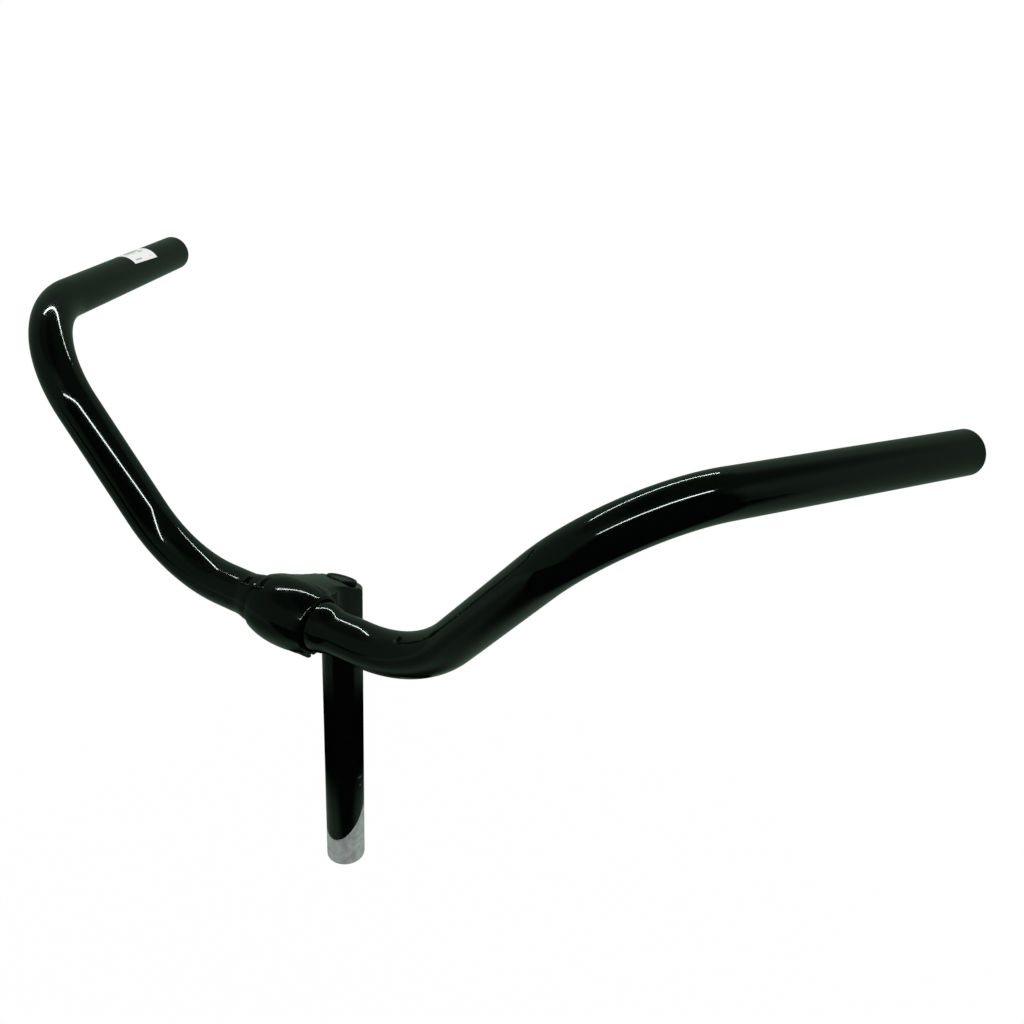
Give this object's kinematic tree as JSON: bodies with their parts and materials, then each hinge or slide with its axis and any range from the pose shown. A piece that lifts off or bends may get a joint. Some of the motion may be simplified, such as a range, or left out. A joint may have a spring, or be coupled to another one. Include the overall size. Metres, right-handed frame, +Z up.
{
  "type": "city bike handlebar",
  "caption": "Swept-back, raised steel handlebar held in the slotted clamp of a short-reach quill stem with a slanted expander wedge.",
  "frame": {"origin": "on the quill's axis, at the lowest level that the steerer's top edge may reach (the minimum-insertion line)", "axes": "+Z up along the quill's axis, +Y back to the rider, +X across the bike to the rider's right when facing -Y"},
  "size_m": [0.5504, 0.1973, 0.3147],
  "materials": {
    "bar_paint": "deep gloss black paint on a drawn steel tube, satin to the eye on the straight grips",
    "stem_paint": "black lacquer over a smooth aluminium forging",
    "cap_plastic": "black moulded plastic with a soft shine",
    "pinch_steel": "blackened steel",
    "plated_steel": "bright zinc-plated steel",
    "bare_alloy": "plain cast aluminium"
  },
  "bodies": {
    "stem": {"stem": "stem_paint", "top_cap": "cap_plastic", "pinch_bolt": "pinch_steel", "pinch_washer": "pinch_steel", "expander_washer": "plated_steel"},
    "bar": {"handlebar": "bar_paint"},
    "expander_bolt": {"expander_bolt": "plated_steel"},
    "wedge": {"expander_wedge": "bare_alloy"}
  },
  "joints": [
    {"name": "bar_tilt", "type": "hinge", "parent": "stem", "child": "bar", "pos_m": [0, -0.038, 0.125], "axis": [1, 0, 0], "range_deg": [-30, 30]},
    {"name": "expander_bolt_turn", "type": "hinge", "parent": "stem", "child": "expander_bolt", "pos_m": [0, 0, 0.1], "axis": [0, 0, 1], "range_deg": [0, 720]},
    {"name": "wedge_draw", "type": "slide", "parent": "stem", "child": "wedge", "axis": [0, 0, -1], "range_m": [0, 0.0025]}
  ],
  "couplings": [
    {"joint": "expander_bolt_turn", "follows": "wedge_draw", "rad_per_m": 5026.5}
  ]
}
